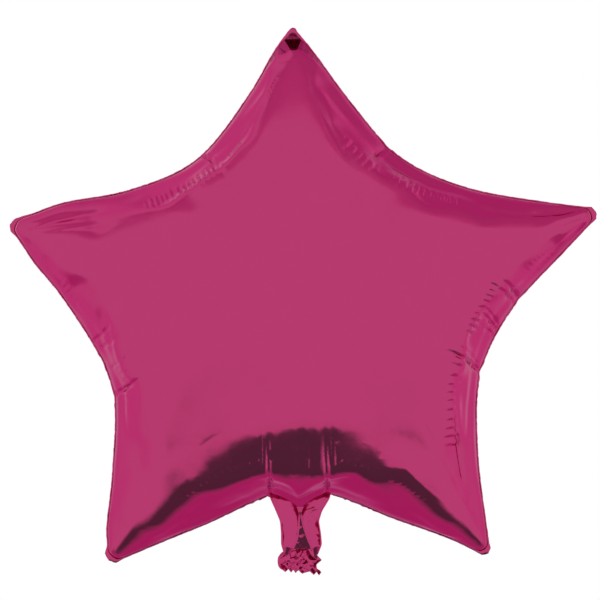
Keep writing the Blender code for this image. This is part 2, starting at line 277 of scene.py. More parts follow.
# The pieces of the neck, as left and right edges from top to bottom in pixels.
LEFT_LOBE = (
    ((268, 484), (270, 498), (275, 509), (280, 521), (281, 533), (281, 544), (284, 554)),
    ((292, 488), (297, 503), (300, 514), (299.5, 527), (298, 539), (294, 548), (288, 555)),
)
RIGHT_LOBE = (
    ((308, 488), (303, 503), (300, 514), (303, 527), (307, 539), (311, 548), (314, 555)),
    ((332, 484), (330, 498), (322, 511), (319, 521), (321, 533), (322, 544), (318, 554)),
)
NECK_BACK = (
    ((283, 506), (286, 516), (286, 530), (286, 545), (288, 558)),
    ((317, 506), (314, 516), (314, 530), (315, 545), (312, 558)),
)
TAIL = (
    ((287, 549), (281, 553), (278, 557), (277.5, 561), (278, 565), (280, 568), (283, 570)),
    ((312, 549), (316, 553), (318, 556), (322, 560), (316.5, 564), (317, 569), (322, 574)),
)

# How far back the middle of each piece stands, at its top and at its bottom.
LOBE_DEPTHS = (-0.0020, -0.0045)
NECK_BACK_DEPTHS = (-0.0050, 0.0110)
TAIL_DEPTHS = (0.0020, -0.0010)

# The neck's pieces narrow towards both ends, within a fifth of their length, to
# these shares of their thickness. Behind its middle a piece is a little thinner.
NECK_CLOSING = 5.0
OPEN_AT_TOP = 0.25
OPEN_AT_FOOT = 0.18
BACK_BULGE = 0.7

# The neck's pleats wander and lean, and begin within a quarter of its length.
PLEAT_WANDER = 0.06
PLEAT_WAVES_ACROSS = 9.0
PLEAT_WAVES_DOWN = 4.0
PLEAT_LEAN = 0.5
PLEAT_START = 4.0

# Crushed film: where in the noise a piece starts, how much finer the second
# noise is, how far off it is read, and the share of each.
CRUMPLE_START = 2.0
CRUMPLE_SHIFT = 10.0
FINE_CRUMPLE = 2.3
FINE_CRUMPLE_SHIFT = (7.1, 0.0, 3.7)
CRUMPLE_SHARE = 3.2
FINE_CRUMPLE_SHARE = 1.3

# The foil's colours, straight on and at a grazing angle, and how its patches and
# scuffs are spread: so many a metre, how much darker, and the noise they span.
FOIL_COLOUR = (0.485, 0.044, 0.159)
GRAZING_COLOUR = (0.85, 0.45, 0.60, 1.0)
PATCHES = 55.0
PATCH_DARKENING = 0.95
SCUFFS = 210.0
SCUFF_SPAN = (0.3, 0.7)

# Each look's crinkles, as features a metre and their height, and its roughness.
SMOOTH_FILM = (((140.0, 0.00003), (900.0, 0.000004)), (0.10, 0.15))
WELDED_FILM = (((650.0, 0.00005),), (0.16, 0.26))
CRUSHED_FILM = (((330.0, 0.00008), (1300.0, 0.00001)), (0.12, 0.22))

# What the foil mirrors of the room, by the angle from straight in front, down
# past the floor or up past the ceiling to straight behind.
ROOM_BELOW = (
    (0, (1.0, 1.0, 1.0)),
    (28, (0.97, 0.95, 0.96)),
    (36, (0.18, 0.31, 0.22)),
    (50, (0.16, 0.29, 0.20)),
    (86, (0.16, 0.27, 0.20)),
    (102, (0.50, 0.38, 0.46)),
    (116, (0.76, 0.36, 0.66)),
    (180, (0.78, 0.40, 0.70)),
)
ROOM_ABOVE = (
    (0, (1.0, 1.0, 1.0)),
    (56, (1.0, 0.98, 1.0)),
    (72, (0.86, 0.50, 0.76)),
    (92, (0.78, 0.42, 0.68)),
    (120, (0.76, 0.46, 0.70)),
    (180, (0.78, 0.55, 0.74)),
)

# Parts of a direction, each from where a change starts to where it ends: from
# floor to ceiling, from front to back, and to the white at the sides in front,
# behind and to the upper left. The white behind ends at the height given.
WHITE = (1.0, 1.0, 1.0)
FLOOR_TO_CEILING = (-0.08, 0.08)
FRONT_TO_BACK = (0.0, 0.25)
WHITE_SLANT = (0.45, 1.10)
SLANT_SOFTENING = 0.05
WHITE_BESIDE = (0.30, 0.50)
WHITE_HEIGHT = (0.42, 0.60)
WHITE_LEFT = (-0.05, -0.30)

FLOOR_SIZE = 2.5
FLOOR_HEIGHT = -0.35
FLOOR_COLOUR = (0.96, 0.96, 0.96, 1.0)
FLOOR_ROUGHNESS = 0.8


def from_pixel(column, row):
    """Place in the row frame of a pixel of the photograph, in the star's plane."""
    return (column - ORIGIN_COLUMN) * METRE_PER_PIXEL, (ORIGIN_ROW - row) * METRE_PER_PIXEL


def closed_resample(loop, step):
    """Points at an even step along a closed loop."""
    closed = np.vstack([loop, loop[:1]])
    lengths = np.concatenate([[0.0], np.cumsum(np.linalg.norm(np.diff(closed, axis=0), axis=1))])
    count = max(8, int(round(lengths[-1] / step)))
    places = np.linspace(0.0, lengths[-1], count, endpoint=False)
    return np.stack([np.interp(places, lengths, closed[:, axis]) for axis in (0, 1)], axis=1)


def loop_distance(points, loop):
    """Distance to a closed loop and place along it, for each point."""
    runs = np.roll(loop, -1, axis=0) - loop
    squares = (runs**2).sum(axis=1)
    starts = np.concatenate([[0.0], np.cumsum(np.sqrt(squares))[:-1]])
    distance = np.zeros(len(points))
    place = np.zeros(len(points))
    for first in range(0, len(points), POINTS_AT_ONCE):
        part = points[first:first + POINTS_AT_ONCE]
        offsets = part[:, None] - loop
        along = np.clip((offsets * runs).sum(axis=2) / squares, 0.0, 1.0)
        gaps = np.linalg.norm(offsets - along[..., None] * runs, axis=2)
        nearest = gaps.argmin(axis=1)
        rows = np.arange(len(part))
        distance[first:first + POINTS_AT_ONCE] = gaps[rows, nearest]
        place[first:first + POINTS_AT_ONCE] = (starts + along * np.sqrt(squares))[rows, nearest]
    return distance, place


def inside_outline(points, outline):
    """Whether each point lies inside an outline that is a radius by direction."""
    directions = np.arctan2(outline[:, 1], outline[:, 0])
    order = np.argsort(directions)
    radii = np.hypot(outline[:, 0], outline[:, 1])[order]
    towards = np.arctan2(points[:, 1], points[:, 0])
    limit = np.interp(towards, directions[order], radii, period=2 * math.pi)
    return np.hypot(points[:, 0], points[:, 1]) < limit


def cad_seam():
    """The seam's outer edge as a loop of (x, z) from the star's centre.

    It is read from the CAD solid, anticlockwise from the left: the edge between
    a face that looks forwards and one that looks back. Where the neck leaves
    the star, the loop runs straight across.
    """
    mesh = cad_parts["foil_star"].data
    facing = {}
    for face in mesh.polygons:
        corners = [mesh.vertices[index].co for index in face.vertices]
        corners = [tuple(round(value, 6) for value in corner) for corner in corners]
        for start, end in zip(corners, corners[1:] + corners[:1]):
            facing.setdefault(frozenset((start, end)), []).append(face.normal.y)
    points = set()
    for edge, sides in facing.items():
        if len(sides) == 2 and sides[0] * sides[1] < -SEAM_TURN:
            points.update(edge)
    seam = np.array([(x, z - STAR_CENTRE_HEIGHT) for x, y, z in points if abs(y) < SEAM_FLATNESS])
    seam = seam[(np.abs(seam[:, 0]) > NECK_GAP_HALF_WIDTH) | (seam[:, 1] > 0.0)]
    seam = seam[np.argsort(np.arctan2(seam[:, 1], seam[:, 0]))]
    for _ in range(TAB_PASSES):
        radii = np.hypot(seam[:, 0], seam[:, 1])
        neighbours = np.minimum(np.roll(radii, 1), np.roll(radii, -1))
        seam = seam[(radii < TAB_START_RADIUS) | (radii > neighbours - TAB_DENT)]
    return seam


def half_runs(loop):
    """The seam from each tip to the notches beside it, as runs that start at the tip.

    A run's key is its tip, counted anticlockwise from the right-hand one, and
    1 for the side that goes on anticlockwise or -1 for the other.
    """
    loop = closed_resample(loop, SEAM_STEP)
    radii = np.hypot(loop[:, 0], loop[:, 1])
    tips = []
    for number in range(TIPS):
        tips.append(int(np.where(np.abs(from_tip(loop, number)) < TIP_PITCH / 4, radii, 0.0).argmax()))
    runs = {}
    for number, tip in enumerate(tips):
        following = (number + 1) % TIPS
        ahead = np.roll(loop, -tip, axis=0)[:(tips[following] - tip) % len(loop) + 1]
        notch = np.hypot(ahead[:, 0], ahead[:, 1]).argmin()
        runs[number, 1] = ahead[:notch + 1]
        runs[following, -1] = ahead[notch:][::-1]
    return runs


def from_tip(points, number):
    """Angle of each point from the middle line of a tip, anticlockwise."""
    turned = np.arctan2(points[:, 1], points[:, 0]) - FIRST_TIP - number * TIP_PITCH
    return (turned + math.pi) % (2 * math.pi) - math.pi


def run_lengths(run):
    """Length along a run up to each of its points."""
    return np.concatenate([[0.0], np.cumsum(np.linalg.norm(np.diff(run, axis=0), axis=1))])


def flat_star(runs):
    """Outline of the flat star, the same on all its points, before blowing up.

    Its radius is the mean of the blown-up star's, made larger by an allowance.
    """
    turns = np.radians(np.arange(HALF_TIP_DEGREES + 1.0))
    radii = np.zeros(len(turns))
    for (number, side), run in runs.items():
        turned = side * (from_tip(run, number) - from_tip(run[:1], number))
        turned *= turns[-1] / turned[-1]
        radii += np.interp(turns, turned, np.hypot(run[:, 0], run[:, 1])) / len(runs)
    radii *= np.interp(np.degrees(turns), *zip(*CUT_ALLOWANCES))
    outline = []
    for direction in np.arange(0.0, 2 * math.pi, OUTLINE_TURN):
        turned = abs((direction - FIRST_TIP + TIP_PITCH / 2) % TIP_PITCH - TIP_PITCH / 2)
        radius = np.interp(turned, turns, radii)
        outline.append((radius * math.cos(direction), radius * math.sin(direction)))
    return np.array(outline)


def cut_film(outline, steps, rng, folded=None):
    """Triangles over the flat star, finer near its edge and where it is folded.

    Returns the points, the faces and how many points lie on the edge. Those
    come first and in order.
    """
    edge = closed_resample(outline, steps[0][1])
    guide = closed_resample(outline, GUIDE_STEP)
    inner = []
    clearance = EDGE_CLEARANCE * steps[0][1]
    nearer = clearance
    for reach_in, step in steps:
        grid = jittered_grid(outline, step, rng)
        distance, _ = loop_distance(grid, guide)
        chosen = (distance > nearer) & (distance <= reach_in)
        if folded:
            chosen &= ~folded(grid)
        inner.append(grid[chosen])
        nearer = reach_in
    if folded:
        grid = jittered_grid(outline, FOLDED_STEP, rng)
        grid = grid[folded(grid)]
        distance, _ = loop_distance(grid, guide)
        inner.append(grid[distance > clearance])
    flat = np.vstack([edge] + inner)
    border = [(index, (index + 1) % len(edge)) for index in range(len(edge))]
    made = delaunay_2d_cdt([Vector(point) for point in flat], border, [], 1, MERGE_DISTANCE)
    points = np.array([tuple(point) for point in made[0]])
    return points, np.array(made[2]), len(edge)


def jittered_grid(outline, step, rng):
    """A triangular grid of points inside an outline, each moved a little."""
    reach = np.abs(outline).max()
    count = int(reach / step) + 2
    across, up = np.meshgrid(np.arange(-count, count + 1), np.arange(-count, count + 1))
    grid = np.stack([(across + 0.5 * (up % 2)) * step, up * step * math.sqrt(3) / 2], axis=-1)
    grid = grid.reshape(-1, 2)
    grid = grid[np.hypot(grid[:, 0], grid[:, 1]) < reach * GRID_MARGIN]
    grid += rng.normal(0.0, MESH_JITTER * step, grid.shape)
    return grid[inside_outline(grid, outline)]


def blow_up(flat, faces, edge_count):
    """Blow up two flat films that share their edge.

    Returns where each point of the front film and of the back film comes to.
    """
    count = len(flat)
    inner = count - edge_count
    rise = np.full(count, START_BULGE)
    rise[:edge_count] = 0.0
    front = np.stack([flat[:, 0], -rise, flat[:, 1]], axis=1)
    back = np.stack([flat[:, 0], rise, flat[:, 1]], axis=1)
    back_index = np.arange(count)
    back_index[edge_count:] += inner
    corners = np.vstack([front, back[edge_count:]])
    triangles = np.vstack([faces, back_index[faces][:, ::-1]])
    film = new_mesh("cloth_run", corners, triangles)
    cloth = film.modifiers.new("gas", "CLOTH")
    settings = cloth.settings
    settings.quality = STEPS_A_FRAME
    settings.mass = POINT_WEIGHT
    settings.air_damping = FILM_DAMPING
    settings.bending_model = "ANGULAR"
    settings.tension_stiffness = STRETCH_STIFFNESS
    settings.compression_stiffness = STRETCH_STIFFNESS * SQUEEZE_SHARE
    settings.shear_stiffness = STRETCH_STIFFNESS
    settings.bending_stiffness = BEND_STIFFNESS
    settings.tension_damping = FILM_DAMPING
    settings.compression_damping = FILM_DAMPING
    settings.shear_damping = FILM_DAMPING
    settings.bending_damping = BEND_DAMPING
    settings.use_pressure = True
    settings.uniform_pressure_force = GAS_PRESSURE
    settings.effector_weights.gravity = 0.0
    cloth.collision_settings.use_collision = False
    cloth.point_cache.frame_start = 1
    cloth.point_cache.frame_end = BLOW_FRAMES
    for step in range(1, BLOW_FRAMES + 1):
        bpy.context.scene.frame_set(step)
    blown = film.evaluated_get(bpy.context.evaluated_depsgraph_get()).to_mesh()
    places = np.zeros(len(corners) * 3)
    blown.vertices.foreach_get("co", places)
    places = places.reshape(-1, 3)
    bpy.data.objects.remove(film)
    bpy.context.scene.frame_set(1)
    return places[:count], places[back_index]


def new_mesh(name, corners, faces):
    """An object from points and faces, linked to the scene."""
    data = bpy.data.meshes.new(name)
    data.from_pydata(np.asarray(corners).tolist(), [], [list(map(int, face)) for face in faces])
    data.update()
    thing = bpy.data.objects.new(name, data)
    bpy.context.scene.collection.objects.link(thing)
    return thing


def flat_corners(flat_edge, number, side):
    """The flat star's tip and the notch on one side of it."""
    radii = np.hypot(flat_edge[:, 0], flat_edge[:, 1])
    corners = []
    for radius, turned in ((radii.max(), 0.0), (radii.min(), side * TIP_PITCH / 2)):
        direction = FIRST_TIP + number * TIP_PITCH + turned
        corners.append((radius * math.cos(direction), radius * math.sin(direction)))
    return corners


def seam_places(flat_edge, runs, inset, tip_inset):
    """Where the seam comes to for each point of the flat film's edge.

    Points keep their share of the way from tip to notch. The inset moves them
    in from the seam's outer edge, by more at the tips.
    """
    places = np.zeros(flat_edge.shape)
    for (number, side), run in runs.items():
        turned = side * from_tip(flat_edge, number)
        chosen = np.where((turned >= 0.0) & (turned <= TIP_PITCH / 2 + TINY))[0]
        chosen = chosen[np.argsort(turned[chosen])]
        tip, notch = flat_corners(flat_edge, number, side)
        shares = run_lengths(np.vstack([tip, flat_edge[chosen], notch]))
        shares = shares[1:-1] / shares[-1]
        lengths = run_lengths(run)
        along = shares * lengths[-1]
        direction = side * np.gradient(run, axis=0)
        direction /= np.linalg.norm(direction, axis=1)[:, None]
        slide = (tip_inset - inset) * np.exp(-((along / TIP_WELD_REACH) ** 2))
        to_centre = -run[0] / np.linalg.norm(run[0])
        straight = np.exp(-((along / TIP_ROUNDING) ** 2))
        for axis, sign in ((0, -1.0), (1, 1.0)):
            inward = np.interp(along, lengths, sign * direction[:, 1 - axis])
            inward += straight * (to_centre[axis] - inward)
            outer = np.interp(along, lengths, run[:, axis])
            places[chosen, axis] = outer + inset * inward + slide * to_centre[axis]
    wander_seam(places)
    in_gap = (np.abs(places[:, 0]) < NECK_GAP_HALF_WIDTH) & (places[:, 1] < 0.0)
    dip = np.cos(0.5 * math.pi * places[:, 0] / NECK_GAP_HALF_WIDTH) ** 2
    places[:, 1] -= np.where(in_gap, NECK_DIP * dip, 0.0)
    return places


def wander_seam(places):
    """Move places on the seam, measured from the star's centre, a little to and fro."""
    radii = np.hypot(places[:, 0], places[:, 1])
    along = SEAM_PER_RADIAN * np.arctan2(places[:, 1], places[:, 0])
    beside_neck = smooth_step((-places[:, 1] - NECK_SIDE_DEPTH) / NECK_SIDE_FADE)
    beside_neck *= smooth_step((NECK_SIDE_RADIUS - radii) / NECK_SIDE_FADE)
    size = WANDER + (WANDER_BELOW - WANDER) * beside_neck
    shift = size * unevenness(along, WANDER_PITCH)
    for pixel, width, depth in KINKS:
        x, z = from_pixel(*pixel)
        gap = np.hypot(places[:, 0] - x, places[:, 1] + STAR_CENTRE_HEIGHT - z)
        shift -= depth * np.clip(1.0 - gap / width, 0.0, 1.0)
    places *= (1.0 + shift / radii)[:, None]


def calm_wall(flat, film, edge_count):
    """Even out the wrinkles that the cloth run leaves in the wall behind the seam.

    Each point is described by its place against the seam nearest to it: along
    the seam, inwards, and to the front. A straight line is fitted to these
    across the seam, from the points about it, mostly those along the seam.
    """
    edge = flat[:edge_count]
    lengths = run_lengths(np.vstack([edge, edge[:1]]))
    total = lengths[-1]
    distance, along = loop_distance(flat, edge)
    tips = np.array([lengths[np.abs(from_tip(edge, number)).argmin()] for number in range(TIPS)])
    from_tips = np.abs((along[:, None] - tips + total / 2) % total - total / 2).min(axis=1)
    reach = np.minimum(CALM_DEPTH, CALM_GROWTH * from_tips)
    share = smooth_step((reach - distance) / (CALM_FADE * reach + LEAST_FADE))
    near = np.where(distance < CALM_MARGIN * CALM_DEPTH)[0]
    seam = np.vstack([film[:edge_count], film[:1]])
    steps = np.arange(0.0, total, FRAME_STEP)
    line = np.stack([np.interp(steps, lengths, seam[:, axis]) for axis in (0, 2)], axis=1)
    for _ in range(FRAME_SMOOTHING):
        line = 0.25 * np.roll(line, 1, axis=0) + 0.5 * line + 0.25 * np.roll(line, -1, axis=0)
    ahead = np.roll(line, -1, axis=0) - np.roll(line, 1, axis=0)
    ahead /= np.linalg.norm(ahead, axis=1)[:, None]
    here = along[near]
    ahead = np.stack([np.interp(here, steps, ahead[:, axis], period=total) for axis in (0, 1)], axis=1)
    ahead /= np.linalg.norm(ahead, axis=1)[:, None]
    start = np.stack([np.interp(here, lengths, seam[:, axis]) for axis in (0, 2)], axis=1)
    inward = np.stack([-ahead[:, 1], ahead[:, 0]], axis=1)
    offset = film[near][:, [0, 2]] - start
    sideways = (offset * ahead).sum(axis=1)
    inwards = (offset * inward).sum(axis=1)
    seen = np.stack([sideways, inwards, film[near, 1]], axis=1)
    along_gap = (here[:, None] - here + total / 2) % total - total / 2
    across_gap = distance[near] - distance[near][:, None]
    weights = np.exp(-((along_gap / CALM_ALONG) ** 2) - (across_gap / CALM_ACROSS) ** 2)
    moments = [(weights * across_gap**power).sum(axis=1) for power in range(3)]
    plain = weights @ seen
    tilted = (weights * across_gap) @ seen
    scale = moments[0] * moments[2] - moments[1] ** 2
    even = (moments[2][:, None] * plain - moments[1][:, None] * tilted) / scale[:, None]
    least = WALL_SPREAD * distance[near]
    over = even[:, 1] - least
    even[:, 1] = least + 0.5 * (over + np.sqrt(over**2 + (WALL_SOFTNESS * share[near]) ** 2))
    calmed = start + even[:, :1] * ahead + even[:, 1:2] * inward
    calmed = np.stack([calmed[:, 0], even[:, 2], calmed[:, 1]], axis=1)
    film = film.copy()
    film[near] += share[near][:, None] * (calmed - film[near])
    return film


def fit_to_seam(flat, front, back, edge_count, runs):
    """Bend the blown-up films sideways so that their edge meets the seam.

    A point moves as the edge does, and mostly as the edge near it does.
    """
    wanted = seam_places(flat[:edge_count], runs, WELD_WIDTH, TIP_WELD_WIDTH)
    moves = wanted - front[:edge_count][:, [0, 2]]
    gaps = np.linalg.norm(flat[:, None] - flat[None, :edge_count], axis=2)
    weights = 1.0 / (gaps + FITTING_SOFTNESS) ** FITTING_POWER
    shift = weights @ moves / weights.sum(axis=1)[:, None]
    shift[:edge_count] = moves
    deepening = (CAD_HIGH.y - CAD_LOW.y) / (back[:, 1].max() - front[:, 1].min())
    fitted = []
    for film in (front, back):
        film = film.copy()
        film[:, [0, 2]] += shift
        film[:, 1] *= deepening
        film[:, 2] += STAR_CENTRE_HEIGHT
        edge = film[:edge_count].copy()
        film = calm_wall(flat, film, edge_count)
        film[:edge_count] = edge
        fitted.append(film)
    return fitted


def flat_tree(flat):
    """A tree that finds the flat film's points nearest to a place."""
    tree = KDTree(len(flat))
    for index, (x, y) in enumerate(flat):
        tree.insert((x, y, 0.0), index)
    tree.balance()
    return tree


def smooth_between(flat, values, wanted):
    """Values at other flat points, from curved patches through the nearest points."""
    tree = flat_tree(flat)
    found = np.zeros((len(wanted), FITTING_NEIGHBOURS), int)
    for index, point in enumerate(wanted):
        nearest = tree.find_n((point[0], point[1], 0.0), FITTING_NEIGHBOURS)
        found[index] = [entry[1] for entry in nearest]
    results = np.zeros((len(wanted), values.shape[1]))
    for first in range(0, len(wanted), POINTS_AT_ONCE):
        part = slice(first, first + POINTS_AT_ONCE)
        offsets = flat[found[part]] - wanted[part][:, None]
        gaps = np.linalg.norm(offsets, axis=2)
        reach = gaps.max(axis=1)[:, None]
        weights = np.exp(-((FITTING_SHARPNESS * gaps / reach) ** 2))
        x, z = (offsets / reach[..., None]).transpose(2, 0, 1)
        basis = np.stack([np.ones_like(x), x, z, x * x, x * z, z * z], axis=2)
        weighted = basis * weights[..., None]
        left = np.einsum("nki,nkj->nij", weighted, basis) + TINY * np.eye(6)
        right = np.einsum("nki,nkv->niv", weighted, values[found[part]])
        results[part] = np.linalg.solve(left, right)[:, 0]
    return results


def point_normals(corners, faces):
    """Outward direction at each point of a triangle mesh."""
    a, b, c = (corners[faces[:, column]] for column in range(3))
    across = np.cross(b - a, c - a)
    normals = np.zeros(corners.shape)
    for column in range(3):
        np.add.at(normals, faces[:, column], across)
    return normals / np.linalg.norm(normals, axis=1)[:, None]


def line_coordinates(places, line):
    """How far along a line each place lies, how far to its left, and the line's length."""
    along = np.zeros(len(places))
    aside = np.full(len(places), np.inf)
    before = 0.0
    for start, end in zip(line, line[1:]):
        run = end - start
        length = np.linalg.norm(run)
        offset = places - start
        share = np.clip(offset @ run / length**2, 0.0, 1.0)
        gap = np.linalg.norm(offset - share[:, None] * run, axis=1)
        left = np.where(run[0] * offset[:, 1] > run[1] * offset[:, 0], 1.0, -1.0)
        nearer = gap < np.abs(aside)
        along[nearer] = (before + share * length)[nearer]
        aside[nearer] = (left * gap)[nearer]
        before += length
    return along, aside, before


def photo_line(pixels):
    """A smooth line through pixels of the photograph, in the star's plane."""
    return smooth_line([from_pixel(*pixel) for pixel in pixels], 6 * len(pixels))


def folded_places(flat, film):
    """A test of flat points: whether the blown-up film is folded there."""
    tree = flat_tree(flat)
    places = film[:, [0, 2]]
    folded = np.zeros(len(places), bool)
    for pixels, _, outward, inward, _, _ in GATHERS:
        _, aside, _ = line_coordinates(places, photo_line(pixels))
        folded |= (aside < inward + FOLD_MARGIN) & (aside > -outward - FOLD_MARGIN)
    for pixels, width, _ in FOLDS:
        _, aside, _ = line_coordinates(places, photo_line(pixels))
        folded |= np.abs(aside) < 0.5 * width + FOLD_MARGIN

    def test(points):
        return np.array([folded[tree.find((x, y, 0.0))[1]] for x, y in points], bool)

    return test


def smooth_step(value):
    """0 below 0, 1 above 1, and a smooth rise between."""
    value = np.clip(value, 0.0, 1.0)
    return value * value * (3.0 - 2.0 * value)


def unevenness(place, scale):
    """A smooth uneven wave between about -1 and 1."""
    place = place / scale
    return (np.sin(place) + np.sin(1.73 * place + 1.1) + np.sin(2.91 * place + 2.3)) / 2.4


def gather_rise(places):
    """How far the rows of gathers lift the film, along its normal."""
    rise = np.zeros(len(places))
    for pixels, pitch, outward, inward, height, lean in GATHERS:
        along, aside, length = line_coordinates(places, photo_line(pixels))
        place = along + lean * aside
        wander, spacing = GATHER_WANDER
        wandering = place + wander * pitch * unevenness(place, spacing * pitch)
        ridge = 1.0 - 2.0 * np.abs(np.sin(math.pi * wandering / pitch))
        change, spacing = GATHER_REACH_CHANGE
        reach = np.where(aside > 0.0, inward, outward)
        reach = reach * (1.0 - change + change * unevenness(place, spacing * pitch))
        fade = 1.0 - smooth_step(np.abs(aside) / reach)
        end_fade = GATHER_END_FADE * pitch
        fade *= smooth_step(along / end_fade) * smooth_step((length - along) / end_fade)
        change, spacing = GATHER_HEIGHT_CHANGE
        swell = 1.0 - change + change * unevenness(place, spacing * pitch)
        rise -= height * ridge * fade * swell
    return rise


def fold_rise(places):
    """How far the single folds lift the film, along its normal."""
    rise = np.zeros(len(places))
    for pixels, width, depth in FOLDS:
        along, aside, length = line_coordinates(places, photo_line(pixels))
        share = along / length
        fade = smooth_step(FOLD_START_DEPTH + share / FOLD_START_SHARE)
        fade *= smooth_step((1.0 - share) / FOLD_END_SHARE)
        rise -= depth * fade * np.exp(-((2.0 * aside / width) ** 2))
    return rise


def swell_rise(places):
    """How far the broad swells lift the film, along its normal."""
    rise = np.zeros(len(places))
    for pixels, width, height in SWELLS:
        along, aside, length = line_coordinates(places, photo_line(pixels))
        fade = smooth_step(along / width) * smooth_step((length - along) / width)
        rise += height * fade * np.exp(-((2.0 * aside / width) ** 2))
    return rise


def blown_star(rng, runs):
    """The two films, blown up and fitted, as one closed piece."""
    outline = flat_star(runs)
    flat, faces, edge_count = cut_film(outline, SIMULATED_STEPS, rng)
    front, back = blow_up(flat, faces, edge_count)
    front, back = fit_to_seam(flat, front, back, edge_count, runs)
    fine, faces, fine_edge = cut_film(outline, SHOWN_STEPS, rng, folded_places(flat, front))
    values = smooth_between(flat, np.hstack([front, back]), fine)
    films = [values[:, :3], values[:, 3:]]
    edge = 0.5 * (films[0][:fine_edge] + films[1][:fine_edge])
    distance, _ = loop_distance(fine, closed_resample(outline, GUIDE_STEP))
    finished = []
    for film, side in zip(films, (1, -1)):
        film[:fine_edge] = edge
        film[:, 1] = -side * np.maximum(-side * film[:, 1], LEAST_PUFF * distance)
        normals = point_normals(film, faces[:, ::side])
        places = film[:, [0, 2]]
        rise = gather_rise(places) + fold_rise(places) + swell_rise(places)
        rise *= smooth_step(distance / FOLD_SEAM_FADE)
        film = film + normals * rise[:, None]
        film[:fine_edge] = edge
        finished.append(film)
    back_index = np.arange(len(fine))
    back_index[fine_edge:] += len(fine) - fine_edge
    corners = np.vstack([finished[0], finished[1][fine_edge:]])
    triangles = np.vstack([faces, back_index[faces][:, ::-1]])
    star = new_mesh("blown_star", corners, triangles)
    star.data.shade_smooth()
    return star, fine[:fine_edge], edge


def weld_edge(flat_edge, runs, seam):
    """The flat weld around the star, ruffled to the front and back."""
    outer = seam_places(flat_edge, runs, 0.0, 0.0)
    outer = np.stack([outer[:, 0], seam[:, 1], outer[:, 1] + STAR_CENTRE_HEIGHT], axis=1)
    inward = seam - outer
    along = run_lengths(outer)
    ruffle = RUFFLE * unevenness(along, RUFFLE_PITCH)
    finer = unevenness(along + FINE_RUFFLE_START, FINE_PITCH_SHARE * RUFFLE_PITCH)
    ruffle += FINE_RUFFLE_SHARE * RUFFLE * finer
    corners = []
    for share, part in WELD_ROWS:
        for side in (-1, 1):
            row = outer + share * inward
            row[:, 1] += side * 0.5 * WELD_THICKNESS + part * ruffle
            corners.append(row)
    order = (0, 2, 4, 5, 3, 1)
    count = len(flat_edge)
    faces = []
    for first, second in zip(order, order[1:] + order[:1]):
        for index in range(count):
            following = (index + 1) % count
            faces.append((first * count + index, second * count + index,
                          second * count + following, first * count + following))
    weld = new_mesh("weld_edge", np.vstack(corners), faces)
    weld.data.shade_smooth()
    return weld


def smooth_line(points, count):
    """Evenly spaced points on a smooth line through the given ones."""
    points = np.array(points, float)
    places = np.arange(len(points))
    wanted = np.linspace(0, len(points) - 1, count)
    line = np.stack([np.interp(wanted, places, points[:, axis]) for axis in (0, 1)], axis=1)
    for _ in range(count // len(points) // 2):
        line[1:-1] = 0.25 * line[:-2] + 0.5 * line[1:-1] + 0.25 * line[2:]
    return line


def crumple(x, z, scale, seed):
    """Sharp-edged unevenness between about -1 and 1, like that of crushed film."""
    values = np.zeros(x.shape)
    shift = Vector(FINE_CRUMPLE_SHIFT)
    for index in np.ndindex(x.shape):
        spot = Vector((x[index] / scale, seed, z[index] / scale))
        coarse = abs(noise.noise(spot))
        fine = abs(noise.noise(FINE_CRUMPLE * spot + shift))
        values[index] = 1.0 - CRUMPLE_SHARE * coarse - FINE_CRUMPLE_SHARE * fine
    return values


def neck_film(name, edges, depths, thickness, crushed=0.0, scale=0.006, pleats=0.0,
              pleat_count=7.0, ragged=0.0, rows=80, columns=56):
    """A flattened roll of film between two edges that run down the neck.

    The depths are how far back its middle stands at the top and at the bottom.
    Crushed is how deep its crumples are and scale how large. Pleats run down it
    that deep, and its foot is ragged by so much.
    """
    left = smooth_line([from_pixel(*point) for point in edges[0]], rows)[:, None]
    right = smooth_line([from_pixel(*point) for point in edges[1]], rows)[:, None]
    down = np.linspace(0.0, 1.0, rows)[:, None]
    across = 0.5 - 0.5 * np.cos(np.linspace(0.0, math.pi, columns))[None]
    spread = left + across[..., None] * (right - left)
    x, z = spread[..., 0], spread[..., 1]
    round_off = np.sqrt(np.clip(1.0 - (2.0 * across - 1.0) ** 2, 0.0, 1.0))
    at_top = NECK_CLOSING * down + OPEN_AT_TOP
    at_foot = NECK_CLOSING * (1.0 - down) + OPEN_AT_FOOT
    closing = np.minimum(1.0, np.minimum(at_top, at_foot))
    seed = CRUMPLE_START + CRUMPLE_SHIFT * depths[0]
    crushing = crushed * crumple(x, z, scale, seed) * round_off
    wander = PLEAT_WANDER * np.sin(PLEAT_WAVES_ACROSS * across + PLEAT_WAVES_DOWN * down)
    place = pleat_count * (across + wander) + PLEAT_LEAN * down
    zigzag = 2.0 * np.abs(2.0 * (place % 1.0) - 1.0) - 1.0
    zigzag = zigzag * smooth_step(PLEAT_START * down)
    z = z + ragged * smooth_step(2.0 * down - 1.0) * zigzag
    zigzag = pleats * zigzag
    middle = depths[0] + down * (depths[1] - depths[0]) + zigzag - crushing
    bulge = thickness * round_off * closing
    front = np.stack([x, middle - bulge, z], axis=-1)
    back = np.stack([x, middle + BACK_BULGE * bulge, z], axis=-1)[:, -2:0:-1]
    corners = np.concatenate([front, back], axis=1)
    around = corners.shape[1]
    faces = []
    for row in range(rows - 1):
        for step in range(around):
            following = (step + 1) % around
            faces.append((row * around + following, row * around + step,
                          (row + 1) * around + step, (row + 1) * around + following))
    faces.append(tuple(range(around)))
    faces.append(tuple((rows - 1) * around + step for step in range(around))[::-1])
    film = new_mesh(name, corners.reshape(-1, 3), faces)
    film.data.shade_smooth()
    return film


